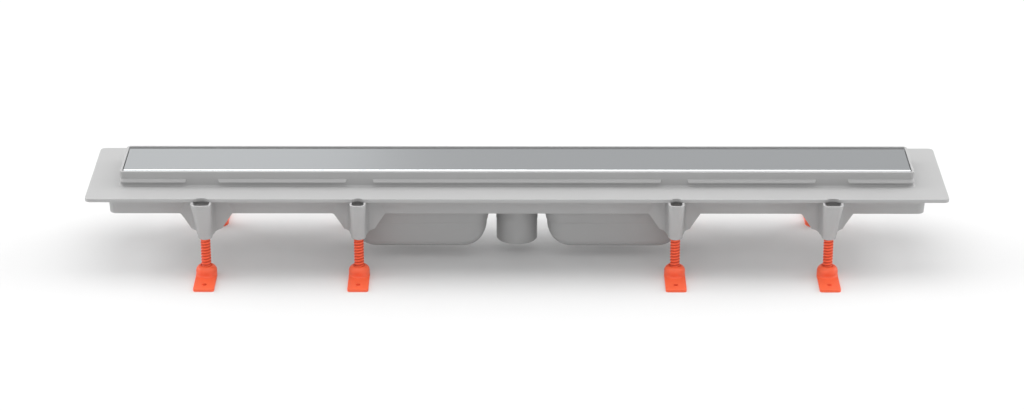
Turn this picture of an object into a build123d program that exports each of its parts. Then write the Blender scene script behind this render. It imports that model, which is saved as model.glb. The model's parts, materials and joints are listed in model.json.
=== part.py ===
"""Channel drain: a moulded shower channel on screw legs, with a folded steel cover.

All sizes are in millimetres. X runs along the channel, the front is at -Y and +Z is up.
The origin lies on the floor, under the middle of the outlet.
"""

import math
import os

from build123d import *

os.makedirs("parts", exist_ok=True)

# Heights
standing_height = 101.7  # floor to flange top, with the legs part way out
body_depth = 30.0  # flange top to the underside of the trough
outlet_depth = 84.2  # flange top to the open end of the outlet spigot
outlet_neck_depth = 57.7  # flange top to the step above the spigot's slide-on length
bowl_depth = 80.2  # flange top to the underside of the trap bowls
socket_depth = 50.7  # flange top to the lower end of the leg sockets
bracket_depth = 48.1  # flange top to the lower edge of the brackets

# Flange round the collar
flange_margin_x = 38.2
flange_margin_y = 39.5
flange_thickness = 4.2
flange_corner = 6.5
flange_edge_round = 0.8

# Collar and trough, one wall from rim to floor
collar_length = 958.0
collar_width = 84.0
collar_height = 18.8
collar_corner = 5.0
collar_root_round = 2.6
collar_rim_round = 0.5
trough_wall = 2.9
trough_floor = 2.4

# Membrane lip on the outside of the collar
lip_underside = 5.0  # above the flange top
lip_tip = 1.3
lip_slope = 3.3
lip_reach = 2.2
lip_end_reach = 0.4
lip_root = 0.8  # depth by which the lip's ring runs into the collar's wall
lip_gap_outer = (-15.8, 25.9)  # along X, outwards from the leg's axis
lip_gap_inner = (-17.9, 16.6)
lip_gap_slant = 1.9

# Skirt under the flange, with ribs between it and the trough
skirt_margin = 14.4
skirt_wall = 2.4
skirt_draft = 1.6
skirt_corner = 9.0
pocket_rib = 2.0
pocket_rib_count = 10
pocket_rib_setback = 3.0
end_rib_spacing = 44.0

# Leg sockets and brackets
leg_end_distance = 104.4  # collar's end to an outer leg's axis
leg_pitch = 184.3  # outer leg to inner leg
leg_setback = 1.5  # flange's edge to a leg's axis
socket_diameter = 17.5
socket_edge_round = 1.6
mouth_width = 18.6  # across the channel
mouth_outer_length = 19.4
mouth_inner_length = 14.3
mouth_outer_lean = 3.1  # the mouth's middle from the leg's axis, outwards along X
mouth_inner_lean = 0.1
mouth_corner = 4.5
mouth_wall = 2.4
mouth_drop = 4.0  # flange top to the mouth's rim
mouth_depth = 26.0  # flange top to the foot of the mouth's hollow
flare_depth = 46.0  # flange top to where the socket starts to widen
notch_depth = 2.5  # flange's edge to the back of the notch over a mouth
notch_reach = 6.6
bracket_half_width = 31.2
bracket_bottom_half_width = 18.4
bracket_shoulder = 3.0
bracket_flare_spread = 23.2
bracket_flare_reach = 16.4
bracket_top_round = 4.0
bracket_bottom_round = 2.5
bracket_wall = 2.4

# Outlet
outlet_diameter = 50.0
outlet_wall = 2.6
outlet_neck_step = 0.4
outlet_chamfer = 0.8

# Trap bowls
bowl_length = 163.4
bowl_gap = 36.6  # middle of the channel to the near tip of a bowl
bowl_wall = 2.4
bowl_corner = 18.0
bowl_end_round = 30.0
bowl_edge_round = 8.0
bowl_collar_depth = 47.7
bowl_collar_step = 0.9
bowl_collar_flare = 4.0

# Trap openings in the trough's floor, and the walls that dip into the bowls
opening_setback = 8.0  # a bowl's tip to the nearest opening
opening_side = 13.0  # a bowl's side to the openings
opening_gap = 13.4  # between the two openings over a bowl
opening_corner = 10.0
dip_wall = 2.4
dip_depth = 66.0
dip_side_clearance = 0.3

# Hood over the rising sides and the outlet
hood_height = 15.0
hood_wall = 2.0
hood_land = 3.5  # hood beyond the openings
hood_corner = 12.0
hood_edge_round = 3.0
seal_thickness = 2.0
seal_width = 3.0
seal_lead = 0.5  # seal beyond the hood
grip_length = 46.0
grip_height = 12.0
grip_thickness = 3.0
grip_bar = 5.0
grip_round = 4.0

# Hair sieves over the inlets
sieve_land = 3.0
sieve_thickness = 1.6
sieve_rim = 1.4
sieve_rim_depth = 2.0
sieve_rim_clearance = 0.3
sieve_slot_end = 10.5  # an opening's end to the slots
sieve_slot_width = 3.0
sieve_slot_pitch = 6.5

# Cover plate
cover_end_gap = 1.2
cover_side_gap = 4.1
cover_drop = 0.5  # rim to the cover's top
cover_sheet = 1.5
cover_fold = 15.0
cover_bend = 2.4

# Ribs in the trough that carry the cover
rest_rib_thickness = 3.0
rest_rib_reach = 5.8
rest_rib_count = 9

# Spindles
spindle_diameter = 12.2
spindle_clearance = 0.1
spindle_top_depth = 28.0  # flange top to a spindle's upper end
spindle_foot_gap = 0.5  # foot's recess floor to the start of the shaft
spindle_end_chamfer = 0.8
slot_width = 2.0
slot_depth = 3.0
ball_diameter = 11.0
ball_height = 8.6  # floor to the ball's middle
ball_clearance = 0.1
neck_diameter = 7.6
neck_clearance = 0.5

# Feet
foot_height = 18.5
foot_hub_diameter = 25.3
foot_width = 25.0
foot_reach = 45.7
foot_plate = 3.2
foot_corner = 3.3
foot_shoulder = 8.5
foot_crease = 3.0
foot_recess_top = 14.4
foot_recess_bottom = 12.8
foot_recess_depth = 2.2
screw_hole_diameter = 6.1
screw_hole_reach = 31.5

# Levels and places worked out from the sizes above
flange_top = standing_height
flange_under = flange_top - flange_thickness
rim_top = flange_top + collar_height
floor_under = flange_top - body_depth
floor_top = floor_under + trough_floor
flange_length = collar_length + 2 * flange_margin_x
flange_width = collar_width + 2 * flange_margin_y
trough_length = collar_length - 2 * trough_wall
trough_width = collar_width - 2 * trough_wall
trough_corner = collar_corner - trough_wall
skirt_length = collar_length + 2 * skirt_margin
skirt_width = collar_width + 2 * skirt_margin
pocket_rib_pitch = collar_length / pocket_rib_count
socket_bottom = flange_top - socket_depth
flare_bottom = flange_top - flare_depth
mouth_floor = flange_top - mouth_depth
mouth_top = flange_top - mouth_drop
bracket_bottom = flange_top - bracket_depth
bore_diameter = spindle_diameter + 2 * spindle_clearance
leg_y = flange_width / 2 - leg_setback
leg_x_outer = collar_length / 2 - leg_end_distance
leg_x_inner = leg_x_outer - leg_pitch
bowl_width = collar_width
bowl_centre = bowl_gap + bowl_length / 2
bowl_bottom = flange_top - bowl_depth
bowl_collar_bottom = flange_top - bowl_collar_depth
bowl_collar_reach = bowl_collar_step + bowl_collar_flare
bowl_top = floor_under
pad_length = 2 * (bowl_gap + bowl_length + bowl_collar_reach + bowl_wall)
opening_length = (bowl_length - 2 * opening_setback - opening_gap) / 2
opening_width = bowl_width - 2 * opening_side
riser_x = bowl_gap + opening_setback + opening_length / 2
riser_end = riser_x + opening_length / 2
dip_x = riser_end + opening_gap / 2
sieve_x = riser_end + opening_gap + opening_length / 2
sieve_slot_length = opening_length - 2 * sieve_slot_end
sieve_slot_count = int((opening_width - 2 * sieve_slot_width) / sieve_slot_pitch)
hood_length = 2 * (riser_end + hood_land)
hood_width = opening_width + 2 * hood_land
seal_top = floor_top + seal_thickness
hood_top = seal_top + hood_height
cover_length = trough_length - 2 * cover_end_gap
cover_width = trough_width - 2 * cover_side_gap
cover_under = rim_top - cover_drop - cover_fold
rest_rib_pitch = trough_length / rest_rib_count
spindle_top = flange_top - spindle_top_depth
shaft_bottom = foot_height - foot_recess_depth + spindle_foot_gap

LEGS = [
    (f"{row}_{side}_{place}", x_sign * leg_x, y_sign * leg_y, mouth_length, mouth_lean)
    for row, y_sign in (("front", -1), ("back", 1))
    for side, x_sign in (("left", -1), ("right", 1))
    for place, leg_x, mouth_length, mouth_lean in (
        ("outer", leg_x_outer, mouth_outer_length, mouth_outer_lean),
        ("inner", leg_x_inner, mouth_inner_length, mouth_inner_lean),
    )
]
SIDES = (("left", -1), ("right", 1))


def skirt_ring():
    """The drafted stiffening wall under the flange."""
    with BuildPart() as skirt:
        for inset, mode in ((0, Mode.ADD), (skirt_wall, Mode.SUBTRACT)):
            with BuildSketch(Plane.XY.offset(flange_under)):
                RectangleRounded(
                    skirt_length - 2 * inset, skirt_width - 2 * inset, skirt_corner - inset
                )
            with BuildSketch(Plane.XY.offset(floor_under)):
                RectangleRounded(
                    skirt_length - 2 * (inset + skirt_draft),
                    skirt_width - 2 * (inset + skirt_draft),
                    skirt_corner - inset,
                )
            loft(mode=mode)
    return skirt.part


def leg_bracket():
    """A front bracket with its leg's axis on Z: flared in plan, tapered, and hollow from below."""
    face_y = leg_y - skirt_width / 2 + skirt_draft
    back_y = face_y + skirt_wall
    tube_y = face_y - bracket_flare_reach
    flare_x = bracket_half_width + bracket_shoulder
    flare_end_x = flare_x - bracket_flare_spread
    tube_x = socket_diameter / 2
    with BuildPart() as bracket:
        with BuildSketch(Plane.XY.offset(bracket_bottom)):
            with BuildLine():
                for side, start in ((-1, 0), (1, 90)):
                    EllipticalCenterArc(
                        (side * flare_x, tube_y),
                        bracket_flare_spread,
                        bracket_flare_reach,
                        start_angle=start,
                        arc_size=90,
                    )
                    Line((side * flare_x, face_y), (side * flare_x, back_y))
                    Line((side * flare_end_x, tube_y), (side * tube_x, 0))
                Line((-tube_x, 0), (tube_x, 0))
                Line((-flare_x, back_y), (flare_x, back_y))
            make_face()
        extrude(amount=flange_under - bracket_bottom)
        with BuildSketch(Plane.XZ.offset(-back_y)) as outline:
            with BuildLine():
                Polyline(
                    (-flare_x, flange_under),
                    (-flare_x, floor_under),
                    (-bracket_half_width, floor_under),
                    (-bracket_bottom_half_width, bracket_bottom),
                    (bracket_bottom_half_width, bracket_bottom),
                    (bracket_half_width, floor_under),
                    (flare_x, floor_under),
                    (flare_x, flange_under),
                    close=True,
                )
            make_face()
            fillet(outline.vertices().group_by(Axis.Y)[0], radius=bracket_bottom_round)
            shoulders = (
                outline.vertices()
                .filter_by_position(Axis.Y, floor_under, floor_under)
                .filter_by_position(Axis.X, -bracket_half_width, bracket_half_width)
            )
            fillet(shoulders, radius=bracket_top_round)
        extrude(amount=back_y + tube_x, mode=Mode.INTERSECT)

        # Hollow between the curved wall and the skirt, open below
        hollow_back = leg_y - skirt_width / 2
        hollow_spread = bracket_flare_spread + bracket_wall
        hollow_reach = bracket_flare_reach + bracket_wall
        sweep = math.asin((hollow_back - tube_y) / hollow_reach)
        near_x = flare_x - hollow_spread
        far_x = flare_x - hollow_spread * math.cos(sweep)
        with BuildSketch(Plane.XY.offset(bracket_bottom)):
            with BuildLine():
                for side, start in ((-1, 0), (1, 180 - math.degrees(sweep))):
                    EllipticalCenterArc(
                        (side * flare_x, tube_y),
                        hollow_spread,
                        hollow_reach,
                        start_angle=start,
                        arc_size=math.degrees(sweep),
                    )
                Line((-near_x, tube_y), (near_x, tube_y))
                Line((-far_x, hollow_back), (far_x, hollow_back))
            make_face()
        extrude(amount=flange_under - bracket_bottom, mode=Mode.SUBTRACT)
    return bracket.part


def mouth_outline(leg, wall):
    """Draws a mouth's outline in the open sketch, set outwards from the leg and grown by a wall."""
    _, axis_x, axis_y, length, lean = leg
    offset_y = (mouth_width - bore_diameter) / 2
    with Locations((axis_x + math.copysign(lean, axis_x), axis_y + math.copysign(offset_y, axis_y))):
        RectangleRounded(length + 2 * wall, mouth_width + 2 * wall, mouth_corner + wall)


def leg_socket(leg):
    """One leg socket: a round tube below, widening to a mouth that leans outwards."""
    axis = leg[1:3]
    with BuildPart() as socket:
        with BuildSketch(Plane.XY.offset(socket_bottom)):
            with Locations(axis):
                Circle(socket_diameter / 2)
        extrude(amount=flare_bottom - socket_bottom)
        fillet(socket.edges().group_by(Axis.Z)[0], radius=socket_edge_round)
        with BuildSketch(Plane.XY.offset(flare_bottom)):
            with Locations(axis):
                Circle(socket_diameter / 2)
        with BuildSketch(Plane.XY.offset(mouth_top)):
            mouth_outline(leg, mouth_wall)
        loft()
    return socket.part


def leg_bore(leg):
    """The hollow of one leg socket: the spindle's bore, its mouth, and the notch in the flange."""
    _, axis_x, axis_y, length, lean = leg
    notch_y = flange_width / 2 - notch_depth + notch_reach
    with BuildPart() as bore:
        with BuildSketch(Plane.XY.offset(socket_bottom)):
            with Locations((axis_x, axis_y)):
                Circle(bore_diameter / 2)
        extrude(amount=mouth_floor - socket_bottom)
        with BuildSketch(Plane.XY.offset(mouth_floor)):
            with Locations((axis_x, axis_y)):
                Circle(bore_diameter / 2)
        with BuildSketch(Plane.XY.offset(mouth_top)):
            mouth_outline(leg, 0)
        loft()
        with BuildSketch(Plane.XY.offset(mouth_top)):
            with Locations((axis_x + math.copysign(lean, axis_x), math.copysign(notch_y, axis_y))):
                Ellipse(length / 2, notch_reach)
        extrude(amount=mouth_drop)
    return bore.part


def membrane_lip():
    """The lip round the collar, left out beside each leg's mouth."""
    lip_bottom = flange_top + lip_underside
    lip_top = lip_bottom + lip_tip + lip_slope
    with BuildPart() as lip:
        for level, height in ((lip_bottom, lip_tip), (lip_bottom + lip_tip, lip_slope)):
            with BuildSketch(Plane.XY.offset(level)):
                RectangleRounded(
                    collar_length + 2 * lip_end_reach, collar_width + 2 * lip_reach, collar_corner
                )
            if level == lip_bottom:
                extrude(amount=height)
        with BuildSketch(Plane.XY.offset(lip_top)):
            RectangleRounded(collar_length, collar_width, collar_corner)
        loft()
        with BuildSketch(Plane.XY.offset(lip_bottom)):
            RectangleRounded(
                collar_length - 2 * lip_root, collar_width - 2 * lip_root, collar_corner - lip_root
            )
        extrude(amount=lip_top - lip_bottom, mode=Mode.SUBTRACT)
        with BuildSketch(Plane.XZ.offset(-collar_width)):
            for _, side in SIDES:
                for leg_x, (near, far) in (
                    (leg_x_outer, lip_gap_outer),
                    (leg_x_inner, lip_gap_inner),
                ):
                    with BuildLine():
                        Polyline(
                            (side * (leg_x + near), lip_bottom),
                            (side * (leg_x + far), lip_bottom),
                            (side * (leg_x + far - lip_gap_slant), lip_top),
                            (side * (leg_x + near + lip_gap_slant), lip_top),
                            close=True,
                        )
                    make_face()
        extrude(amount=2 * collar_width, mode=Mode.SUBTRACT)
    return lip.part


bracket_pattern = leg_bracket()
sockets = [leg_socket(leg) for leg in LEGS]
bores = [leg_bore(leg) for leg in LEGS]
lip_ring = membrane_lip()
skirt_wall_ring = skirt_ring()

with BuildPart() as channel_body:
    # Flange and collar, rounded before anything else meets them
    with BuildSketch(Plane.XY.offset(flange_under)):
        RectangleRounded(flange_length, flange_width, flange_corner)
    extrude(amount=flange_thickness)
    fillet(channel_body.faces().sort_by(Axis.Z)[-1].edges(), radius=flange_edge_round)
    with BuildSketch(Plane.XY.offset(flange_top)):
        RectangleRounded(collar_length, collar_width, collar_corner)
    extrude(amount=collar_height)
    collar_root = (
        channel_body.edges()
        .filter_by_position(Axis.Z, flange_top, flange_top)
        .filter_by_position(Axis.Y, -collar_width / 2, collar_width / 2)
        .filter_by_position(Axis.X, -collar_length / 2, collar_length / 2)
    )
    fillet(collar_root, radius=collar_root_round)
    fillet(channel_body.faces().sort_by(Axis.Z)[-1].edges(), radius=collar_rim_round)

    # Trough, the pad over the bowls, skirt, brackets and sockets
    with BuildSketch(Plane.XY.offset(floor_under)):
        RectangleRounded(collar_length, collar_width, collar_corner)
    extrude(amount=body_depth - flange_thickness)
    with BuildSketch(Plane.XY.offset(floor_under)):
        Rectangle(pad_length, skirt_width - 2 * skirt_draft - skirt_wall)
    extrude(amount=trough_floor)
    add(skirt_wall_ring)
    for _, axis_x, axis_y, _, _ in LEGS:
        outwards = 0 if axis_y < 0 else 180
        with Locations(Location((axis_x, axis_y, 0), (0, 0, outwards))):
            add(bracket_pattern)
    add(sockets)

    # Ribs in the pocket between the trough and the skirt
    with BuildSketch(Plane.XY.offset(floor_under + pocket_rib_setback)):
        with GridLocations(pocket_rib_pitch, 0, pocket_rib_count, 1):
            Rectangle(pocket_rib, skirt_width - 2 * skirt_wall)
        with GridLocations(0, end_rib_spacing, 1, 2):
            Rectangle(skirt_length - 2 * skirt_wall, pocket_rib)
    extrude(amount=flange_under - floor_under - pocket_rib_setback)

    # Outlet spigot, and the walls that dip into the bowls
    with BuildSketch(Plane.XY.offset(floor_under)):
        Circle(outlet_diameter / 2 + outlet_neck_step)
    extrude(amount=body_depth - outlet_neck_depth)
    with BuildSketch(Plane.XY.offset(flange_top - outlet_neck_depth)):
        Circle(outlet_diameter / 2)
    extrude(amount=outlet_neck_depth - outlet_depth)
    chamfer(channel_body.edges().group_by(Axis.Z)[0], length=outlet_chamfer)
    dip_half_width = bowl_width / 2 - bowl_wall - dip_side_clearance
    for _, side in SIDES:
        with BuildSketch(Plane.YZ.offset(side * dip_x - dip_wall / 2)):
            with BuildLine():
                Polyline(
                    (-dip_half_width, flange_top - dip_depth),
                    (dip_half_width, flange_top - dip_depth),
                    (dip_half_width, bowl_collar_bottom),
                    (dip_half_width + bowl_collar_reach, bowl_top),
                    (-dip_half_width - bowl_collar_reach, bowl_top),
                    (-dip_half_width, bowl_collar_bottom),
                    close=True,
                )
            make_face()
        extrude(amount=dip_wall)

    # Hollows
    add(bores, mode=Mode.SUBTRACT)
    with BuildSketch(Plane.XY.offset(floor_top)):
        RectangleRounded(trough_length, trough_width, trough_corner)
    extrude(amount=rim_top - floor_top, mode=Mode.SUBTRACT)
    with BuildSketch(Plane.XY.offset(floor_under)):
        for _, side in SIDES:
            with Locations((side * riser_x, 0), (side * sieve_x, 0)):
                RectangleRounded(opening_length, opening_width, opening_corner)
    extrude(amount=trough_floor, mode=Mode.SUBTRACT)
    with BuildSketch(Plane.XY.offset(flange_top - outlet_depth)):
        Circle(outlet_diameter / 2 - outlet_wall)
    extrude(amount=outlet_depth - body_depth + trough_floor, mode=Mode.SUBTRACT)

    # Ribs that carry the cover, and the lip
    with BuildSketch(Plane.XY.offset(floor_top)):
        with GridLocations(
            rest_rib_pitch, trough_width - rest_rib_reach + trough_wall, rest_rib_count, 2
        ):
            Rectangle(rest_rib_thickness, rest_rib_reach + trough_wall)
    extrude(amount=cover_under - floor_top)
    add(lip_ring)

channel_body.part.label = "channel_body"
export_step(channel_body.part, "parts/channel_body.step")


def bowl_core(centre_x, inset):
    """A bowl's outline as a solid, or its hollow when an inset is given."""
    half_length = bowl_length / 2 - inset
    with BuildPart() as core:
        with BuildSketch(Plane.XY.offset(bowl_bottom + inset)):
            with Locations((centre_x, 0)):
                RectangleRounded(2 * half_length, bowl_width - 2 * inset, bowl_corner - inset)
        extrude(amount=bowl_top - bowl_bottom - inset)
        with BuildSketch(Plane.XZ.offset(-bowl_width)) as side_view:
            with Locations((centre_x, (bowl_top + bowl_bottom + inset) / 2)):
                Rectangle(2 * half_length, bowl_top - bowl_bottom - inset)
            fillet(side_view.vertices().group_by(Axis.Y)[0], radius=bowl_end_round - inset)
        extrude(amount=2 * bowl_width, mode=Mode.INTERSECT)
        long_edges = core.edges().filter_by(Axis.X).group_by(Axis.Z)[0]
        fillet(long_edges, radius=bowl_edge_round - inset)
        with BuildSketch(Plane.XY.offset(bowl_collar_bottom)):
            with Locations((centre_x, 0)):
                reach = bowl_collar_step if inset == 0 else 0
                RectangleRounded(
                    2 * (half_length + reach), bowl_width - 2 * inset + 2 * reach, bowl_corner - inset
                )
        with BuildSketch(Plane.XY.offset(bowl_top)):
            with Locations((centre_x, 0)):
                RectangleRounded(
                    2 * (half_length + bowl_collar_reach),
                    bowl_width - 2 * inset + 2 * bowl_collar_reach,
                    bowl_corner - inset + bowl_collar_reach,
                )
        loft()
    return core.part


for side_name, side in SIDES:
    bowl_outside = bowl_core(side * bowl_centre, 0)
    bowl_inside = bowl_core(side * bowl_centre, bowl_wall)
    with BuildPart() as trap_bowl:
        add(bowl_outside)
        add(bowl_inside, mode=Mode.SUBTRACT)
    trap_bowl.part.label = f"trap_bowl_{side_name}"
    export_step(trap_bowl.part, f"parts/trap_bowl_{side_name}.step")


# Hood over the rising sides and the outlet, with a grip to lift it by
with BuildPart() as trap_hood:
    with BuildSketch(Plane.XY.offset(seal_top)):
        RectangleRounded(hood_length, hood_width, hood_corner)
    extrude(amount=hood_height)
    fillet(trap_hood.faces().sort_by(Axis.Z)[-1].edges(), radius=hood_edge_round)
    with BuildSketch(Plane.XY.offset(seal_top)):
        RectangleRounded(
            hood_length - 2 * hood_wall, hood_width - 2 * hood_wall, hood_corner - hood_wall
        )
    extrude(amount=hood_height - hood_wall, mode=Mode.SUBTRACT)
    with BuildSketch(Plane.XZ.offset(-grip_thickness / 2)) as grip:
        with Locations((0, hood_top + grip_height / 2)):
            Rectangle(grip_length, grip_height)
        fillet(grip.vertices().group_by(Axis.Y)[-1], radius=grip_round)
        with Locations((0, hood_top + (grip_height - grip_bar) / 2)):
            Rectangle(grip_length - 2 * grip_bar, grip_height - grip_bar, mode=Mode.SUBTRACT)
    extrude(amount=grip_thickness)

trap_hood.part.label = "trap_hood"
export_step(trap_hood.part, "parts/trap_hood.step")


# Rubber ring between the hood and the trough's floor
with BuildPart() as hood_seal:
    with BuildSketch(Plane.XY.offset(floor_top)):
        RectangleRounded(
            hood_length + 2 * seal_lead, hood_width + 2 * seal_lead, hood_corner + seal_lead
        )
        RectangleRounded(
            hood_length + 2 * seal_lead - 2 * seal_width,
            hood_width + 2 * seal_lead - 2 * seal_width,
            hood_corner + seal_lead - seal_width,
            mode=Mode.SUBTRACT,
        )
    extrude(amount=seal_thickness)

hood_seal.part.label = "hood_seal"
export_step(hood_seal.part, "parts/hood_seal.step")


# Hair sieves: slotted lids with a rim that drops into the inlets
for side_name, side in SIDES:
    rim_inset = 2 * sieve_rim_clearance
    with BuildPart() as hair_sieve:
        with BuildSketch(Plane.XY.offset(floor_top)):
            with Locations((side * sieve_x, 0)):
                RectangleRounded(
                    opening_length + 2 * sieve_land,
                    opening_width + 2 * sieve_land,
                    opening_corner + sieve_land,
                )
        extrude(amount=sieve_thickness)
        with BuildSketch(Plane.XY.offset(floor_top)):
            with Locations((side * sieve_x, 0)):
                RectangleRounded(
                    opening_length - rim_inset, opening_width - rim_inset, opening_corner
                )
                RectangleRounded(
                    opening_length - rim_inset - 2 * sieve_rim,
                    opening_width - rim_inset - 2 * sieve_rim,
                    opening_corner - sieve_rim,
                    mode=Mode.SUBTRACT,
                )
        extrude(amount=-sieve_rim_depth)
        with BuildSketch(Plane.XY.offset(floor_top)):
            with Locations((side * sieve_x, 0)):
                with GridLocations(0, sieve_slot_pitch, 1, sieve_slot_count):
                    SlotOverall(sieve_slot_length, sieve_slot_width)
        extrude(amount=sieve_thickness, mode=Mode.SUBTRACT)
    hair_sieve.part.label = f"hair_sieve_{side_name}"
    export_step(hair_sieve.part, f"parts/hair_sieve_{side_name}.step")


# Cover: a folded sheet laid upside down on the ribs, just below the rim
with BuildPart() as cover_plate:
    for inset, mode in ((0, Mode.ADD), (cover_sheet, Mode.SUBTRACT)):
        with BuildSketch(Plane.YZ.offset(-cover_length / 2)) as section:
            with Locations((0, cover_under + (cover_fold - inset) / 2)):
                Rectangle(cover_width - 2 * inset, cover_fold - inset)
            fillet(section.vertices().group_by(Axis.Y)[-1], radius=cover_bend - inset)
        extrude(amount=cover_length, mode=mode)

cover_plate.part.label = "cover_plate"
export_step(cover_plate.part, "parts/cover_plate.step")


def spindle_shape():
    """A spindle on the Z axis: a shaft with a driver slot on top, and a ball below."""
    with BuildPart() as shape:
        with BuildSketch(Plane.XY.offset(shaft_bottom)):
            Circle(spindle_diameter / 2)
        extrude(amount=spindle_top - shaft_bottom)
        chamfer(shape.edges().filter_by(GeomType.CIRCLE), length=spindle_end_chamfer)
        with BuildSketch(Plane.XY.offset(ball_height)):
            Circle(neck_diameter / 2)
        extrude(amount=shaft_bottom - ball_height)
        with BuildSketch(Plane.XZ):
            with BuildLine():
                Line((0, ball_height - ball_diameter / 2), (0, ball_height + ball_diameter / 2))
                CenterArc((0, ball_height), ball_diameter / 2, -90, 180)
            make_face()
        revolve(axis=Axis.Z)
        with BuildSketch(Plane.XY.offset(spindle_top)):
            Rectangle(spindle_diameter, slot_width)
        extrude(amount=-slot_depth, mode=Mode.SUBTRACT)
    return shape.part


def foot_shape():
    """A front foot on the Z axis: a dome that holds the ball, and a plate with a screw hole."""
    hub_radius = foot_hub_diameter / 2
    recess_floor = foot_height - foot_recess_depth
    cavity_radius = ball_diameter / 2 + ball_clearance
    with BuildPart() as shape:
        with BuildSketch(Plane.XZ) as profile:
            with BuildLine():
                Polyline(
                    (0, 0),
                    (foot_reach + hub_radius, 0),
                    (foot_reach + hub_radius, foot_plate),
                    (hub_radius, foot_plate),
                    (hub_radius, foot_height),
                    (0, foot_height),
                    close=True,
                )
            make_face()
            fillet(profile.vertices().sort_by_distance((hub_radius, foot_height))[0], foot_shoulder)
            fillet(profile.vertices().sort_by_distance((hub_radius, foot_plate))[0], foot_crease)
        revolve(axis=Axis.Z)
        with BuildSketch(Plane.XY) as plan:
            with Locations((0, -foot_reach / 2)):
                Rectangle(foot_width, foot_reach)
            fillet(plan.vertices().group_by(Axis.Y)[0], radius=foot_corner)
            Circle(hub_radius)
        extrude(amount=foot_height, mode=Mode.INTERSECT)
        with BuildSketch(Plane.XZ):
            with BuildLine():
                Polyline(
                    (0, recess_floor),
                    (foot_recess_bottom / 2, recess_floor),
                    (foot_recess_top / 2, foot_height),
                    (0, foot_height),
                    close=True,
                )
            make_face()
        revolve(axis=Axis.Z, mode=Mode.SUBTRACT)
        with BuildSketch(Plane.XZ):
            with BuildLine():
                Line((0, ball_height - cavity_radius), (0, ball_height + cavity_radius))
                CenterArc((0, ball_height), cavity_radius, -90, 180)
            make_face()
        revolve(axis=Axis.Z, mode=Mode.SUBTRACT)
        with BuildSketch(Plane.XY.offset(ball_height)):
            Circle(neck_diameter / 2 + neck_clearance)
        extrude(amount=recess_floor - ball_height, mode=Mode.SUBTRACT)
        with BuildSketch(Plane.XY):
            with Locations((0, -screw_hole_reach)):
                Circle(screw_hole_diameter / 2)
        extrude(amount=foot_plate, mode=Mode.SUBTRACT)
    return shape.part


# Legs: each foot's plate points away from the channel
spindle_pattern = spindle_shape()
foot_pattern = foot_shape()
for leg_name, axis_x, axis_y, _, _ in LEGS:
    outwards = 0 if axis_y < 0 else 180
    with BuildPart() as spindle:
        with Locations((axis_x, axis_y, 0)):
            add(spindle_pattern)
    spindle.part.label = f"spindle_{leg_name}"
    export_step(spindle.part, f"parts/spindle_{leg_name}.step")
    with BuildPart() as foot:
        with Locations(Location((axis_x, axis_y, 0), (0, 0, outwards))):
            add(foot_pattern)
    foot.part.label = f"foot_{leg_name}"
    export_step(foot.part, f"parts/foot_{leg_name}.step")
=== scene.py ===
"""Looks of the channel drain: finishes for its moulded, folded and rubber parts, the
threaded spindles and domed feet of its legs, and the studio it stands in.

Lengths are in metres, and MM turns millimetres into them.
"""

import json
import logging
import math
from dataclasses import dataclass
from enum import Enum
from typing import Any, Callable, Iterable, Mapping, Sequence

import bmesh
import bpy
from mathutils import Matrix, Vector


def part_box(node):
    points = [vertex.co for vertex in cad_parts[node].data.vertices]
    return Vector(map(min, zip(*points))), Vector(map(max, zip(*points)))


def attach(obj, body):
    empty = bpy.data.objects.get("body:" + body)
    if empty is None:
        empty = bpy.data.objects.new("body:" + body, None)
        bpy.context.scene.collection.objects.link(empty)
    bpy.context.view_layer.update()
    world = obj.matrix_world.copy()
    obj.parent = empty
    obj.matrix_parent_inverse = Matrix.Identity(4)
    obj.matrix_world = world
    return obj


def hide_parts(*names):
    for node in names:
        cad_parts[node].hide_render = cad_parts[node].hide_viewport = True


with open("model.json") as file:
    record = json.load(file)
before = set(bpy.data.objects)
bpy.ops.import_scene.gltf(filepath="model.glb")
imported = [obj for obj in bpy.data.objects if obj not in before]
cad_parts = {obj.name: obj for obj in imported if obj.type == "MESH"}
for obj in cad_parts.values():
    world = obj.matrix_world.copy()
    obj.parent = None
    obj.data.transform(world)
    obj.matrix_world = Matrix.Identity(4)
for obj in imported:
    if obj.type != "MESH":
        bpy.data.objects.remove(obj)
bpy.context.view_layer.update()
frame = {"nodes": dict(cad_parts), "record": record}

log = logging.getLogger("channel_drain")
MM = 0.001
TOUCH = 0.01 * MM  # places closer than this count as the same
MERGE = 0.002 * MM  # points closer than this become one
SLICE = 0.001 * MM  # points this near a cutting plane lie on it
OVERCUT = 1.0 * MM  # how far a cutting tool stands out of what it cuts
Colour = tuple[float, float, float]
BLACK: Colour = (0.0, 0.0, 0.0)
WHITE: Colour = (1.0, 1.0, 1.0)


def linear(red: int, green: int, blue: int) -> Colour:
    """Turns a paint colour of 0 to 255 a channel into the linear values a shader takes.

    Args:
        red: Red, as on screen.
        green: Green, as on screen.
        blue: Blue, as on screen.

    Returns:
        The three linear values, from 0 to 1.
    """

    def channel(level: int) -> float:
        """One channel, by the screen's own curve."""
        value = level / 255
        return value / 12.92 if value <= 0.04045 else ((value + 0.055) / 1.055) ** 2.4

    return channel(red), channel(green), channel(blue)


def shade(colour: Colour, factor: float) -> Colour:
    """A lighter or darker tone of a linear colour.

    Args:
        colour: The colour.
        factor: What each channel is multiplied by.

    Returns:
        The new colour, with no channel above 1.
    """
    return tuple(min(1.0, c * factor) for c in colour)


class Axis(Enum):
    """An axis of the object."""

    X = "X"
    Y = "Y"
    Z = "Z"


class Ray(Enum):
    """A kind of ray that a material or the world can answer apart."""

    CAMERA = "Is Camera Ray"
    GLOSSY = "Is Glossy Ray"


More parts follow.
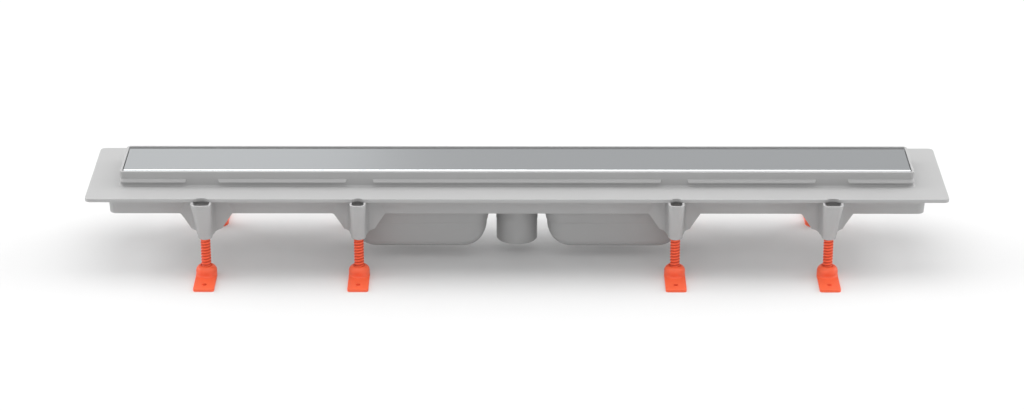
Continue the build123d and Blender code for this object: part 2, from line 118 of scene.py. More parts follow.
class Value:
    """A number that changes over a surface: arithmetic on it adds nodes."""

    def __init__(self, graph: "Graph", socket: bpy.types.NodeSocket) -> None:
        """Keeps the graph and the output socket that the number comes from."""
        self.graph = graph
        self.socket = socket

    def _math(self, operation: str, other: "Value | float") -> "Value":
        """Adds one Math node.

        Args:
            operation: The node's operation.
            other: Its second input.

        Returns:
            The node's result.
        """
        node = self.graph.node("ShaderNodeMath", {"operation": operation}, {0: self, 1: other})
        return Value(self.graph, node.outputs[0])

    def __add__(self, other: "Value | float") -> "Value":
        """Sum."""
        return self._math("ADD", other)

    def __mul__(self, other: "Value | float") -> "Value":
        """Product."""
        return self._math("MULTIPLY", other)

    def ramp(self, low: float, high: float) -> "Value":
        """Goes smoothly from 0 at low to 1 at high.

        Args:
            low: The value that gives 0.
            high: The value that gives 1.

        Returns:
            The smoothed value.
        """
        node = self.graph.node(
            "ShaderNodeMapRange",
            {"interpolation_type": "SMOOTHSTEP"},
            {"Value": self, "From Min": low, "From Max": high},
        )
        return Value(self.graph, node.outputs["Result"])

    def between(self, low: "Value | float", high: float) -> "Value":
        """Goes evenly from low to high as this goes from 0 to 1.

        Args:
            low: The result at 0.
            high: The result at 1.

        Returns:
            The new value.
        """
        node = self.graph.node(
            "ShaderNodeMapRange", inputs={"Value": self, "To Min": low, "To Max": high}
        )
        return Value(self.graph, node.outputs["Result"])


class Graph:
    """The node graph of a material or of the world."""

    def __init__(self, owner: bpy.types.Material | bpy.types.World) -> None:
        """Empties the nodes of the material or world.

        Args:
            owner: What the graph belongs to.
        """
        owner.use_nodes = True
        self.owner = owner
        self.tree = owner.node_tree
        self.tree.nodes.clear()

    def node(
        self,
        kind: str,
        settings: Mapping[str, Any] | None = None,
        inputs: Mapping[Any, Any] | None = None,
    ) -> bpy.types.Node:
        """Adds a node.

        Args:
            kind: The node's type.
            settings: Its properties, set first.
            inputs: Values or links, by the socket's name or number.

        Returns:
            The new node.
        """
        node = self.tree.nodes.new(kind)
        for key, value in (settings or {}).items():
            setattr(node, key, value)
        for key, value in (inputs or {}).items():
            socket = node.inputs[key]
            if isinstance(value, Value):
                value = value.socket
            if isinstance(value, bpy.types.NodeSocket):
                self.tree.links.new(value, socket)
            elif hasattr(socket.default_value, "__len__") and len(socket.default_value) == 4:
                socket.default_value = (*value, 1.0)
            else:
                socket.default_value = value
        return node

    def ray(self, kind: Ray) -> Value:
        """Tells whether a surface is met by one kind of ray.

        Args:
            kind: The kind.

        Returns:
            1 for that kind, and 0 for the others.
        """
        return Value(self, self.node("ShaderNodeLightPath").outputs[kind.value])

    def place(self, scale: Sequence[float] = (1, 1, 1)) -> bpy.types.NodeSocket:
        """Object coordinates in metres, stretched by a scale.

        Args:
            scale: The factor along each axis.

        Returns:
            The vector's socket.
        """
        coordinates = self.node("ShaderNodeTexCoord")
        mapping = self.node(
            "ShaderNodeMapping",
            {"vector_type": "POINT"},
            {"Vector": coordinates.outputs["Object"], "Scale": scale},
        )
        return mapping.outputs["Vector"]

    def along(self, axis: Axis) -> Value:
        """One of the Object coordinates, in metres.

        Args:
            axis: The axis that it runs along.

        Returns:
            The coordinate.
        """
        split = self.node("ShaderNodeSeparateXYZ", inputs={0: self.place()})
        return Value(self, split.outputs[axis.value])

    def noise(
        self, size: float, detail: float = 2.0, stretch: Sequence[float] = (1, 1, 1)
    ) -> Value:
        """Cloudy noise, about even round 0.5.

        Args:
            size: Size of one cloud, in metres.
            detail: How many finer layers it holds.
            stretch: The factor along each axis before the noise is read.

        Returns:
            The noise.
        """
        node = self.node(
            "ShaderNodeTexNoise",
            inputs={
                "Vector": self.place(stretch),
                "Scale": 1 / size,
                "Detail": detail,
                "Roughness": 0.55,
            },
        )
        return Value(self, node.outputs[0])

    def blend(self, factor: Value, first: Colour, second: Colour) -> bpy.types.NodeSocket:
        """Mixes two colours.

        Args:
            factor: 0 gives the first, 1 the second.
            first: A linear colour.
            second: A linear colour.

        Returns:
            The colour's socket.
        """
        colour_a, colour_b, colour_out = 6, 7, 2
        node = self.node(
            "ShaderNodeMix",
            {"data_type": "RGBA"},
            {"Factor": factor, colour_a: first, colour_b: second},
        )
        return node.outputs[colour_out]

    def bump(self, height: Value, depth: float) -> bpy.types.NodeSocket:
        """Turns a height into a normal.

        Args:
            height: From 0 to 1.
            depth: Height of 1, in metres.

        Returns:
            The normal's socket.
        """
        node = self.node(
            "ShaderNodeBump", inputs={"Height": height, "Distance": depth, "Strength": 1.0}
        )
        return node.outputs["Normal"]

    def surface(self, inputs: Mapping[str, Any]) -> bpy.types.Material:
        """Ends the graph in a Principled shader.

        Args:
            inputs: The shader's sockets.

        Returns:
            The finished material.
        """
        shader = self.node("ShaderNodeBsdfPrincipled", inputs=inputs)
        self.node("ShaderNodeOutputMaterial", inputs={"Surface": shader.outputs[0]})
        return self.owner

    def surround(self, strength: Value) -> None:
        """Ends the graph in a plain white world.

        Args:
            strength: How bright it is.
        """
        white = self.node("ShaderNodeBackground", inputs={"Color": WHITE, "Strength": strength})
        self.node("ShaderNodeOutputWorld", inputs={"Surface": white.outputs[0]})


@dataclass(frozen=True)
class MouldedPlastic:
    """Satin injection-moulded plastic: fine spark-eroded grain and faint flow clouds."""

    name: str
    colour: Colour
    roughness: float = 0.46
    grain_size: float = 0.5 * MM
    grain_depth: float = 0.012 * MM
    grain_gloss: float = 0.08
    cloud_size: float = 60 * MM
    cloud_tone: float = 0.03
    cloud_gloss: float = 0.06
    specular: float = 0.4

    def build(self) -> bpy.types.Material:
        """Makes the material.

        Returns:
            The material.
        """
        graph = Graph(bpy.data.materials.new(self.name))
        clouds = graph.noise(self.cloud_size, detail=3)
        grain = graph.noise(self.grain_size)
        dark, light = (shade(self.colour, 1 + t) for t in (-self.cloud_tone, self.cloud_tone))
        smoothest = self.roughness - (self.cloud_gloss + self.grain_gloss) / 2
        return graph.surface(
            {
                "Base Color": graph.blend(clouds, dark, light),
                "Roughness": clouds * self.cloud_gloss + grain * self.grain_gloss + smoothest,
                "Normal": graph.bump(grain, self.grain_depth),
                "Specular IOR Level": self.specular,
            }
        )


@dataclass(frozen=True)
class BrushedSteel:
    """Fine-ground stainless sheet: long faint streaks along X, with a soft shine."""

    name: str
    colour: Colour
    roughness: float = 0.2
    gloss_change: float = 0.03
    streak_length: float = 60 * MM
    streak_width: float = 0.35 * MM
    streak_depth: float = 0.0004 * MM
    streak_tone: float = 0.015
    haze_size: float = 120 * MM

    def build(self) -> bpy.types.Material:
        """Makes the material.

        Returns:
            The material.
        """
        graph = Graph(bpy.data.materials.new(self.name))
        ratio = self.streak_width / self.streak_length
        streaks = graph.noise(self.streak_width, detail=3, stretch=(ratio, 1, 1))
        haze = graph.noise(self.haze_size)
        dark, light = (shade(self.colour, 1 + t) for t in (-self.streak_tone, self.streak_tone))
        smoothest = self.roughness - self.gloss_change
        return graph.surface(
            {
                "Base Color": graph.blend(streaks, dark, light),
                "Metallic": 1.0,
                "Roughness": streaks * self.gloss_change + haze * self.gloss_change + smoothest,
                "Normal": graph.bump(streaks, self.streak_depth),
            }
        )


@dataclass(frozen=True)
class SealRubber:
    """Matt black rubber with a dusty bloom."""

    name: str
    colour: Colour
    roughness: float = 0.7
    bloom_size: float = 8 * MM
    bloom_tone: float = 1.6
    bloom_gloss: float = 0.1
    pore_size: float = 0.4 * MM
    pore_depth: float = 0.02 * MM

    def build(self) -> bpy.types.Material:
        """Makes the material.

        Returns:
            The material.
        """
        graph = Graph(bpy.data.materials.new(self.name))
        bloom = graph.noise(self.bloom_size, detail=3)
        pores = graph.noise(self.pore_size)
        return graph.surface(
            {
                "Base Color": graph.blend(
                    bloom, self.colour, shade(self.colour, self.bloom_tone)
                ),
                "Roughness": bloom * self.bloom_gloss + (self.roughness - self.bloom_gloss / 2),
                "Normal": graph.bump(pores, self.pore_depth),
            }
        )


class Slot(Enum):
    """The record's material slots."""

    BODY = "body_plastic"
    COVER = "cover_steel"
    LEG = "leg_plastic"
    INSERT = "insert_plastic"
    SEAL = "seal_rubber"


FINISHES = {
    Slot.BODY: MouldedPlastic("moulded_grey", linear(173, 173, 173)),
    Slot.COVER: BrushedSteel("fine_ground_stainless", linear(187, 190, 192)),
    Slot.LEG: MouldedPlastic("moulded_orange", linear(250, 104, 66), roughness=0.4),
    Slot.INSERT: MouldedPlastic("moulded_charcoal", linear(84, 86, 88)),
    Slot.SEAL: SealRubber("black_seal_rubber", linear(26, 26, 27)),
}
# Painted shade: the trap bowls get a darker grey than the body, standing in for the shade they
# hang in under the flange.
BOWL_PAINTED_SHADE = MouldedPlastic("grey_bowls_painted_shade", linear(163, 163, 163))
BOWL_NODES = ("trap_bowl_left", "trap_bowl_right")
# Painted shade: a darker orange for the thread's grooves, standing in for the shade between the
# turns.
GROOVE_PAINTED_SHADE = MouldedPlastic("orange_groove_painted_shade", linear(210, 70, 38), roughness=0.5)


def dress(piece: bpy.types.Object, *materials: bpy.types.Material) -> None:
    """Gives a piece its materials, in order, in place of those that it has.

    Args:
        piece: The piece.
        materials: The materials, the main one first.
    """
    piece.data.materials.clear()
    for material in materials:
        piece.data.materials.append(material)


class Element(Enum):
    """What is picked on a mesh, and so its selection mode."""

    POINTS = "VERT"
    EDGES = "EDGE"
    FACES = "FACE"


class Meeting(Enum):
    """How one closed shape acts on another."""

    JOIN = "UNION"
    CUT = "DIFFERENCE"
    CLIP = "INTERSECT"


class Bench:
    """Hand-modelling helpers: edit-mode operators with selection by place."""

    @staticmethod
    def clear() -> None:
        """Leaves edit mode and deselects everything."""
        if bpy.context.object and bpy.context.object.mode != "OBJECT":
            bpy.ops.object.mode_set(mode="OBJECT")
        bpy.ops.object.select_all(action="DESELECT")

    @staticmethod
    def focus(made: bpy.types.Object) -> None:
        """Makes an object the active one, and the only one selected.

        Args:
            made: The object.
        """
        Bench.clear()
        bpy.context.view_layer.objects.active = made
        made.select_set(True)

    @staticmethod
    def reopen(made: bpy.types.Object) -> None:
        """Opens an object in edit mode, with nothing selected in it.

        Args:
            made: The object.
        """
        Bench.focus(made)
        bpy.ops.object.mode_set(mode="EDIT")
        bpy.ops.mesh.select_all(action="DESELECT")

    @staticmethod
    def start(name: str, primitive: Callable[..., Any], **sizes: Any) -> bpy.types.Object:
        """Adds a primitive at its size and place, and opens it in edit mode.

        Args:
            name: The object's name.
            primitive: The operator that adds it.
            sizes: The operator's own settings.

        Returns:
            The object, with nothing selected in it.
        """
        Bench.clear()
        primitive(**sizes)
        made = bpy.context.object
        made.name = name
        made.data.name = name
        bpy.ops.object.transform_apply(location=True, rotation=True, scale=True)
        Bench.reopen(made)
        return made

    @staticmethod
    def pick(made: bpy.types.Object, kind: Element, test: Callable[[Vector], bool]) -> None:
        """Selects the elements whose middle passes a test, and nothing else.

        Args:
            made: The object in edit mode.
            kind: What is picked.
            test: Tells whether a place belongs.
        """
        bpy.ops.mesh.select_mode(type=kind.value)
        mesh = bmesh.from_edit_mesh(made.data)
        groups = {
            Element.POINTS: mesh.verts,
            Element.EDGES: mesh.edges,
            Element.FACES: mesh.faces,
        }
        for group in groups.values():
            for element in group:
                element.select = False
        for element in groups[kind]:
            corners = [element] if kind is Element.POINTS else element.verts
            middle = sum((c.co for c in corners), Vector()) / len(corners)
            if test(middle):
                element.select_set(True)
        mesh.select_flush_mode()
        bmesh.update_edit_mesh(made.data)

    @staticmethod
    def face_outwards() -> None:
        """Turns every face of the open object outwards."""
        bpy.ops.mesh.select_all(action="SELECT")
        bpy.ops.mesh.normals_make_consistent(inside=False)

    @staticmethod
    def modify(made: bpy.types.Object, kind: str, settings: Mapping[str, Any]) -> None:
        """Adds a modifier and applies it.

        Args:
            made: The object.
            kind: The modifier's type.
            settings: Its properties.
        """
        Bench.focus(made)
        modifier = made.modifiers.new(kind.lower(), kind)
        for key, value in settings.items():
            setattr(modifier, key, value)
        bpy.ops.object.modifier_apply(modifier=modifier.name)

    @staticmethod
    def combine(made: bpy.types.Object, tool: bpy.types.Object, meeting: Meeting) -> None:
        """Joins, cuts or clips one closed shape with another, which is then removed.

        Args:
            made: The shape that is kept.
            tool: The other shape.
            meeting: What the other shape does to it.
        """
        Bench.modify(
            made, "BOOLEAN", {"object": tool, "operation": meeting.value, "solver": "EXACT"}
        )
        bpy.data.objects.remove(tool, do_unlink=True)

    @staticmethod
    def close(made: bpy.types.Object) -> None:
        """Merges points that all but touch and closes what small gaps the cuts left.

        Args:
            made: The object.
        """
        Bench.reopen(made)
        bpy.ops.mesh.select_all(action="SELECT")
        bpy.ops.mesh.remove_doubles(threshold=MERGE)
        bpy.ops.mesh.dissolve_degenerate(threshold=MERGE)
        bpy.ops.mesh.select_all(action="SELECT")
        bpy.ops.mesh.fill_holes(sides=0)
        Bench.face_outwards()
        Bench.clear()

    @staticmethod
    def soften(made: bpy.types.Object, angle: float) -> None:
        """Smooths the shading of all edges flatter than an angle.

        Args:
            made: The object.
            angle: The angle, in degrees.
        """
        Bench.focus(made)
        bpy.ops.object.shade_smooth_by_angle(angle=math.radians(angle))


class LegPart:
    """A piece of a leg, modelled once on the Z axis and copied to the eight legs."""

    @staticmethod
    def copy_to_legs(
        pattern: bpy.types.Object, old: str, new: str
    ) -> list[bpy.types.Object]:
        """Copies a pattern to each leg, turned half round at the back.

        Args:
            pattern: The piece for a front leg, on the Z axis, which is removed.
            old: Start of the body's and node's names that it stands for.
            new: Start of the copies' names.

        Returns:
            The copies.
        """
        made = []
        for body, nodes in frame["record"]["behaviour"]["bodies"].items():
            if not body.startswith(old):
                continue
            low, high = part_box(body.replace(old, "spindle_"))
            axis = Vector(((low.x + high.x) / 2, (low.y + high.y) / 2, 0))
            facing = 1 if axis.y < 0 else -1
            piece = pattern.copy()
            piece.data = pattern.data.copy()
            piece.name = body.replace(old, new)
            piece.data.name = piece.name
            bpy.context.collection.objects.link(piece)
            for vertex in piece.data.vertices:
                place = vertex.co
                vertex.co = Vector((place.x * facing, place.y * facing, place.z)) + axis
            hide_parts(nodes[0])
            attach(piece, body)
            made.append(piece)
        bpy.data.objects.remove(pattern, do_unlink=True)
        return made


@dataclass
class SpindleSet(LegPart):
    """The eight height-adjusting spindles: thread, driver slot, neck and ball."""

    radius: float = 6.0 * MM
    root_radius: float = 4.7 * MM
    pitch: float = 3.8 * MM
    crest_share: float = 0.36  # the tooth's crest over the pitch
    crest_round: float = 0.35 * MM
    spare_turns: int = 2  # wound past each end, and then cut off
    top: float = 73.7 * MM
    bottom: float = 14.0 * MM
    end_chamfer: float = 0.8 * MM
    bar_growth: float = 1.01  # the trimming bar's radius over the thread's
    bar_bevel: float = 1.3  # the bar's bevel over the chamfer that it leaves
    slot_width: float = 2.0 * MM
    slot_depth: float = 3.0 * MM
    neck_radius: float = 3.8 * MM
    neck_overlap: float = 1.5 * MM  # how far the neck runs up into the shaft
    ball_radius: float = 5.5 * MM
    ball_height: float = 8.6 * MM
    groove_slack: float = 0.2 * MM  # how far inside the root still counts as groove
    smooth_angle: float = 38
    sides: int = 48

    def tooth(self) -> bpy.types.Object:
        """Draws the section of one turn: two flanks and the crest between them.

        Returns:
            The section, left in edit mode.
        """
        middle = (self.radius + self.root_radius) / 2
        height = self.bottom + (0.5 - self.spare_turns) * self.pitch
        tooth = Bench.start(
            "thread",
            bpy.ops.mesh.primitive_plane_add,
            size=self.pitch,
            location=(middle, 0, height),
            rotation=(math.pi / 2, 0, 0),
        )
        Bench.pick(tooth, Element.EDGES, lambda p: p.x < middle - self.pitch / 4)
        bpy.ops.mesh.delete(type="EDGE_FACE")
        Bench.pick(tooth, Element.POINTS, lambda p: p.x < middle)
        bpy.ops.transform.translate(value=(self.root_radius - middle + self.pitch / 2, 0, 0))
        Bench.pick(tooth, Element.POINTS, lambda p: p.x > middle)
        bpy.ops.transform.translate(value=(self.radius - middle - self.pitch / 2, 0, 0))
        bpy.ops.transform.resize(
            value=(1, 1, self.crest_share), center_override=(middle, 0, height)
        )
        bpy.ops.mesh.bevel(offset=self.crest_round, segments=2, affect="VERTICES")
        return tooth

    def thread(self) -> bpy.types.Object:
        """Winds the tooth round the axis, and cuts and closes the ends.

        Returns:
            The threaded shaft.
        """
        shaft = self.tooth()
        turns = math.ceil((self.top - self.bottom) / self.pitch) + 2 * self.spare_turns
        Bench.modify(
            shaft,
            "SCREW",
            {
                "axis": Axis.Z.value,
                "screw_offset": self.pitch,
                "iterations": turns,
                "steps": self.sides,
                "render_steps": self.sides,
            },
        )
        Bench.reopen(shaft)
        bpy.ops.mesh.select_all(action="SELECT")
        bpy.ops.mesh.remove_doubles(threshold=MERGE)
        for height, above in ((self.bottom, False), (self.top, True)):
            bpy.ops.mesh.select_all(action="SELECT")
            bpy.ops.mesh.bisect(
                plane_co=(0, 0, height),
                plane_no=(0, 0, 1),
                use_fill=True,
                clear_outer=above,
                clear_inner=not above,
                threshold=SLICE,
            )
        Bench.face_outwards()
        Bench.clear()
        return shaft

    def trimming_bar(self) -> bpy.types.Object:
        """A chamfered bar that trims the thread's ends.

        Returns:
            The bar.
        """
        middle = (self.top + self.bottom) / 2
        half = (self.top - self.bottom) / 2
        bar = Bench.start(
            "trimming_bar",
            bpy.ops.mesh.primitive_cylinder_add,
            vertices=self.sides,
            radius=self.radius * self.bar_growth,
            depth=2 * half,
            location=(0, 0, middle),
        )
        Bench.pick(bar, Element.FACES, lambda p: abs(p.z - middle) > half - TOUCH)
        bpy.ops.mesh.bevel(
            offset=self.end_chamfer * self.bar_bevel, segments=1, affect="EDGES"
        )
        Bench.clear()
        return bar

    def ball_stud(self) -> bpy.types.Object:
        """The ball with its neck drawn up into the shaft.

        Returns:
            The stud.
        """
        neck_foot = self.ball_height + math.sqrt(self.ball_radius**2 - self.neck_radius**2)
        stud = Bench.start(
            "ball_stud",
            bpy.ops.mesh.primitive_uv_sphere_add,
            segments=self.sides,
            ring_count=self.sides // 2,
            radius=self.ball_radius,
            location=(0, 0, self.ball_height),
        )
        bpy.ops.mesh.select_all(action="SELECT")
        bpy.ops.mesh.bisect(
            plane_co=(0, 0, neck_foot), plane_no=(0, 0, 1), clear_outer=True, threshold=SLICE
        )
        Bench.pick(stud, Element.EDGES, lambda p: p.z > neck_foot - TOUCH)
        drawn = self.bottom + self.neck_overlap - neck_foot
        bpy.ops.mesh.extrude_region_move(TRANSFORM_OT_translate={"value": (0, 0, drawn)})
        bpy.ops.mesh.edge_face_add()
        Bench.face_outwards()
        Bench.clear()
        return stud

    def slot_tool(self) -> bpy.types.Object:
        """The bar that cuts the driver's slot.

        Returns:
            The bar, left in edit mode.
        """
        return Bench.start(
            "slot_tool",
            bpy.ops.mesh.primitive_cube_add,
            size=1,
            location=(0, 0, self.top),
            scale=(self.radius * 3, self.slot_width, self.slot_depth * 2),
        )

    def pattern(self) -> bpy.types.Object:
        """Models one spindle on the Z axis.

        Returns:
            The spindle.
        """
        shaft = self.thread()
        Bench.combine(shaft, self.trimming_bar(), Meeting.CLIP)
        Bench.combine(shaft, self.ball_stud(), Meeting.JOIN)
        Bench.combine(shaft, self.slot_tool(), Meeting.CUT)
        Bench.close(shaft)
        Bench.soften(shaft, self.smooth_angle)
        return shaft

    def in_groove(self, middle: Vector) -> bool:
        """Tells whether a face lies in the thread's groove.

        Args:
            middle: The face's middle, on the pattern.

        Returns:
            True for the groove's flanks.
        """
        radius = math.hypot(middle.x, middle.y)
        inner, outer = self.root_radius - self.groove_slack, self.radius - self.crest_round
        low, high = self.bottom + self.end_chamfer, self.top - self.slot_depth
        return inner < radius < outer and low < middle.z < high

    def build(
        self, finish: bpy.types.Material, groove: bpy.types.Material
    ) -> list[bpy.types.Object]:
        """Puts a threaded spindle in place of each plain rod.

        Args:
            finish: The material.
            groove: Painted shade: the deeper orange tone for the groove's faces, standing in for
                the shade between the thread's turns.

        Returns:
            The spindles.
        """
        pattern = self.pattern()
        dress(pattern, finish, groove)
        # Painted shade: faces in the thread's groove take the darker orange.
        for face in pattern.data.polygons:
            face.material_index = int(self.in_groove(face.center))
        return self.copy_to_legs(pattern, "spindle_", "threaded_spindle_")


@dataclass
class FootSet(LegPart):
    """The eight feet: a low dome that holds the ball, and a plate with a screw hole."""

    hub_radius: float = 12.65 * MM
    hub_height: float = 15.3 * MM
    shoulder: float = 7.0 * MM
    shoulder_steps: int = 7
    crease: float = 2.6 * MM
    crease_steps: int = 4
    reach: float = 45.7 * MM
    width: float = 25.0 * MM
    plate: float = 3.2 * MM
    corner: float = 3.3 * MM
    corner_steps: int = 6
    edge_round: float = 0.5 * MM
    edge_steps: int = 2
    edge_angle: float = 60  # edges sharper than this are rounded
    recess_depth: float = 1.8 * MM
    recess_top: float = 7.2 * MM
    recess_bottom: float = 6.4 * MM
    cavity_radius: float = 5.6 * MM
    neck_hole: float = 4.3 * MM
    ball_height: float = 8.6 * MM
    screw_radius: float = 3.05 * MM
    screw_reach: float = 31.5 * MM
    smooth_angle: float = 40
    sides: int = 64

    def rod(
        self, name: str, radius: float, low: float, high: float, y: float = 0
    ) -> bpy.types.Object:
        """An upright cylinder.

        Args:
            name: Its name.
            radius: Its radius.
            low: Height of its lower end.
            high: Height of its upper end.
            y: Its place along Y.

        Returns:
            The cylinder, left in edit mode.
        """
        return Bench.start(
            name,
            bpy.ops.mesh.primitive_cylinder_add,
            vertices=self.sides,
            radius=radius,
            depth=high - low,
            location=(0, y, (low + high) / 2),
        )

    def dome(self) -> bpy.types.Object:
        """The hub on a wide disc, with a rounded shoulder and a soft crease.

        Returns:
            The dome.
        """
        hub = self.rod("hub", self.hub_radius, 0, self.hub_height)
        Bench.pick(hub, Element.EDGES, lambda p: p.z > self.hub_height - TOUCH)
        bpy.ops.mesh.bevel(
            offset=self.shoulder, segments=self.shoulder_steps, affect="EDGES"
        )
        disc = self.rod("disc", self.reach + self.hub_radius, 0, self.plate)
        Bench.combine(hub, disc, Meeting.JOIN)
        Bench.reopen(hub)
        Bench.pick(
            hub,
            Element.EDGES,
            lambda p: abs(p.z - self.plate) < TOUCH
            and math.hypot(p.x, p.y) < self.hub_radius + TOUCH,
        )
        bpy.ops.mesh.bevel(offset=self.crease, segments=self.crease_steps, affect="EDGES")
        Bench.clear()
        return hub

    def plan(self) -> bpy.types.Object:
        """The foot's outline as a tall block: a tongue with round corners, and the hub.

        Returns:
            The block.
        """
        tall = self.hub_height * 2
        block = Bench.start(
            "plan",
            bpy.ops.mesh.primitive_cube_add,
            size=1,
            location=(0, -self.reach / 2, 0),
            scale=(self.width, self.reach, 2 * tall),
        )
        Bench.pick(block, Element.EDGES, lambda p: p.y < TOUCH - self.reach and abs(p.z) < TOUCH)
        bpy.ops.mesh.bevel(offset=self.corner, segments=self.corner_steps, affect="EDGES")
        Bench.combine(block, self.rod("post", self.hub_radius, -tall, tall), Meeting.JOIN)
        return block

    def recess(self) -> bpy.types.Object:
        """The cone that sinks the hub's top round the spindle.

        Returns:
            The cone, left in edit mode.
        """
        return Bench.start(
            "recess",
            bpy.ops.mesh.primitive_cone_add,
            vertices=self.sides,
            radius1=self.recess_bottom,
            radius2=2 * self.recess_top - self.recess_bottom,
            depth=2 * self.recess_depth,
            location=(0, 0, self.hub_height),
        )

    def cavity(self) -> bpy.types.Object:
        """The hollow that holds the ball.

        Returns:
            The sphere, left in edit mode.
        """
        return Bench.start(
            "cavity",
            bpy.ops.mesh.primitive_uv_sphere_add,
            segments=self.sides,
            ring_count=self.sides // 2,
            radius=self.cavity_radius,
            location=(0, 0, self.ball_height),
        )

    def pattern(self) -> bpy.types.Object:
        """Models one front foot on the Z axis.

        Returns:
            The foot.
        """
        foot = self.dome()
        Bench.combine(foot, self.plan(), Meeting.CLIP)
        Bench.combine(foot, self.recess(), Meeting.CUT)
        Bench.combine(foot, self.cavity(), Meeting.CUT)
        neck_top = self.hub_height - self.recess_depth + OVERCUT
        neck = self.rod("neck", self.neck_hole, self.ball_height, neck_top)
        Bench.combine(foot, neck, Meeting.CUT)
        screw = self.rod(
            "screw", self.screw_radius, -OVERCUT, self.plate + OVERCUT, -self.screw_reach
        )
        Bench.combine(foot, screw, Meeting.CUT)
        Bench.modify(
            foot,
            "BEVEL",
            {
                "width": self.edge_round,
                "segments": self.edge_steps,
                "limit_method": "ANGLE",
                "angle_limit": math.radians(self.edge_angle),
                "use_clamp_overlap": True,
            },
        )
        Bench.close(foot)
        Bench.soften(foot, self.smooth_angle)
        return foot

    def build(self, finish: bpy.types.Material) -> list[bpy.types.Object]:
        """Puts a modelled foot in place of each plain one.

        Args:
            finish: The material.

        Returns:
            The feet.
        """
        pattern = self.pattern()
        dress(pattern, finish)
        return self.copy_to_legs(pattern, "foot_", "domed_foot_")


@dataclass
class Dressing:
    """Gives every CAD node the material of its slot in the record, or one of its own."""

    by_slot: Mapping[Slot, bpy.types.Material]
    by_node: Mapping[str, bpy.types.Material]

    def apply(self) -> list[bpy.types.Object]:
        """Assigns the materials.

        Returns:
            The nodes.
        """
        nodes = []
        for subpart in frame["record"]["subparts"]:
            name = subpart["node"]
            node = frame["nodes"][name]
            dress(node, self.by_node.get(name, self.by_slot[Slot(subpart["material_slot"])]))
            nodes.append(node)
        return nodes


@dataclass(frozen=True)
class Lamp:
    """A soft rectangular lamp."""

    name: str
    place: tuple[float, float, float]
    size: tuple[float, float]
    power: float
    aim: tuple[float, float, float] = (0, 0, 0.1)
    lights_matt: bool = True  # off for a lamp that only shines in glossy faces

    def hang(self) -> bpy.types.Object:
        """Hangs the lamp, facing its aim.

        Returns:
            The lamp.
        """
        data = bpy.data.lights.new(self.name, "AREA")
        data.shape = "RECTANGLE"
        data.size, data.size_y = self.size
        data.energy = self.power
        lamp = bpy.data.objects.new(self.name, data)
        lamp.location = self.place
        facing = Vector(self.aim) - Vector(self.place)
        lamp.rotation_euler = facing.to_track_quat("-Z", "Y").to_euler()
        lamp.visible_diffuse = self.lights_matt
        bpy.context.collection.objects.link(lamp)
        return lamp


LAMPS = (
    Lamp("top_softbox", place=(0, 0.2, 2.6), size=(3.0, 2.0), power=28),
    Lamp("left_softbox", place=(-2.8, 0.7, 1.7), size=(2.6, 2.6), power=58),
    Lamp("right_softbox", place=(2.8, 0.7, 1.7), size=(2.6, 2.6), power=58),
    Lamp("front_softbox", place=(0, -2.2, 2.3), size=(3.6, 1.4), power=18),
    Lamp("back_card", place=(-2.0, 5.0, 2.2), size=(3.2, 3.2), power=8.6, aim=(-2.0, 0, 2.2)),
    Lamp("edge_strip", place=(0, 0.7, 2.5), size=(4.0, 1.0), power=60, lights_matt=False),
)


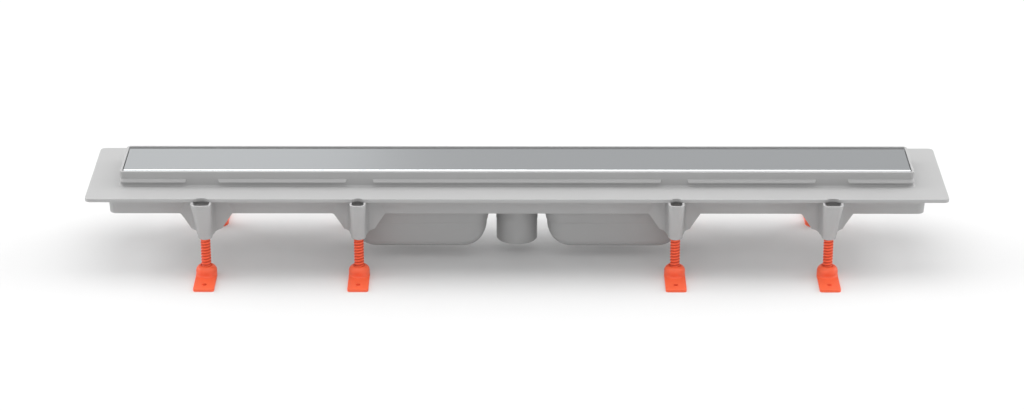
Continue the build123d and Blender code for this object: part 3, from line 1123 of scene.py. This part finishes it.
@dataclass
class Studio:
    """Pale floor, soft lamps and the camera at the photograph's angle."""

    lamps: Sequence[Lamp] = LAMPS
    camera_place: tuple[float, float, float] = (-0.00604, -3.4138, 1.5226)
    camera_tilt: float = 66.8
    camera_roll: float = 0.05
    camera_sensor: float = 36
    lens: float = 106.6
    floor_size: float = 30.0
    floor_tone: float = 0.69
    floor_bounce: float = 0.84  # the floor's tone to all but the camera
    floor_roughness: float = 0.9
    floor_glow: float = 0.09  # what the camera sees added, near the object
    floor_near: float = 1.3  # from here the floor turns white to the camera
    floor_far: float = 2.4
    sky_strength: float = 0.54
    sky_reflected: float = 0.66

    def floor(self) -> None:
        """Lays the floor, white to the camera where no shadow falls."""
        floor = Bench.start(
            "floor", bpy.ops.mesh.primitive_plane_add, size=self.floor_size, location=(0, 0, 0)
        )
        Bench.clear()
        graph = Graph(bpy.data.materials.new("pale_floor"))
        seen = graph.ray(Ray.CAMERA)
        x, y = graph.along(Axis.X), graph.along(Axis.Y)
        far = (x * x + y * y).ramp(self.floor_near**2, self.floor_far**2)
        glow = seen * far.between(self.floor_glow, 1.0)
        material = graph.surface(
            {
                "Base Color": graph.blend(seen, (self.floor_bounce,) * 3, (self.floor_tone,) * 3),
                "Roughness": self.floor_roughness,
                "Specular IOR Level": 0.0,
                "Emission Color": graph.blend(glow, BLACK, WHITE),
                "Emission Strength": 1.0,
            }
        )
        dress(floor, material)

    def sky(self) -> None:
        """Sets a surround that is white to the camera and softly lights the scene."""
        world = bpy.data.worlds.new("studio_surround")
        bpy.context.scene.world = world
        graph = Graph(world)
        unseen = graph.ray(Ray.GLOSSY).between(self.sky_strength, self.sky_reflected)
        graph.surround(graph.ray(Ray.CAMERA).between(unseen, 1.0))

    def camera(self) -> None:
        """Sets up the camera."""
        data = bpy.data.cameras.new("photo_camera")
        data.lens = self.lens
        data.sensor_width = self.camera_sensor
        camera = bpy.data.objects.new("photo_camera", data)
        camera.location = self.camera_place
        tilt = Matrix.Rotation(math.radians(self.camera_tilt), 3, "X")
        roll = Matrix.Rotation(math.radians(self.camera_roll), 3, "Z")
        camera.rotation_euler = (tilt @ roll).to_euler()
        bpy.context.collection.objects.link(camera)
        bpy.context.scene.camera = camera

    def build(self) -> None:
        """Puts up the whole studio."""
        self.floor()
        self.sky()
        for lamp in self.lamps:
            lamp.hang()
        self.camera()
        bpy.context.scene.view_settings.view_transform = "Standard"


def report(pieces: Iterable[bpy.types.Object]) -> None:
    """Logs each piece with its face count and its material.

    Args:
        pieces: The pieces.
    """
    for piece in pieces:
        finish = piece.data.materials[0].name
        log.info("%s: %d faces, %s", piece.name, len(piece.data.polygons), finish)


def main() -> None:
    """Builds the looks in order."""
    logging.basicConfig(level=logging.INFO, format="%(name)s: %(message)s")
    by_slot = {slot: finish.build() for slot, finish in FINISHES.items()}
    # The bowls' darker grey is painted shade.
    by_node = dict.fromkeys(BOWL_NODES, BOWL_PAINTED_SHADE.build())
    report(Dressing(by_slot, by_node).apply())
    report(FootSet().build(by_slot[Slot.LEG]))
    # The groove material is painted shade between the thread's turns.
    report(SpindleSet().build(by_slot[Slot.LEG], GROOVE_PAINTED_SHADE.build()))
    Studio().build()


if __name__ == "__main__":
    main()
